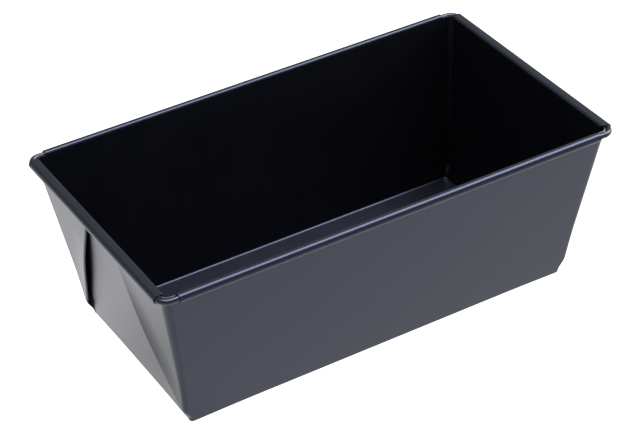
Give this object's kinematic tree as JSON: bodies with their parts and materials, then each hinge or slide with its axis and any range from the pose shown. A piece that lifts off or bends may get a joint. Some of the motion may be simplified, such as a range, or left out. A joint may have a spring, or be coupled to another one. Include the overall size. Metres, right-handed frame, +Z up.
{
  "type": "loaf pan",
  "caption": "Rectangular tapered loaf pan folded from one coated steel sheet, with pleated ends and a rim rolled round a wire ring.",
  "frame": {"origin": "centre of the underside of the base, in the plane that the pan stands on", "axes": "+X along the length, +Y across the width, +Z up through the open top"},
  "size_m": [0.25, 0.142, 0.09],
  "materials": {
    "coated_sheet": "satin black non-stick coating on sheet steel",
    "coated_wire": "satin black coating on drawn steel wire"
  },
  "bodies": {
    "root": {"folded_sheet": "coated_sheet", "rim_wire": "coated_wire"}
  },
  "joints": []
}
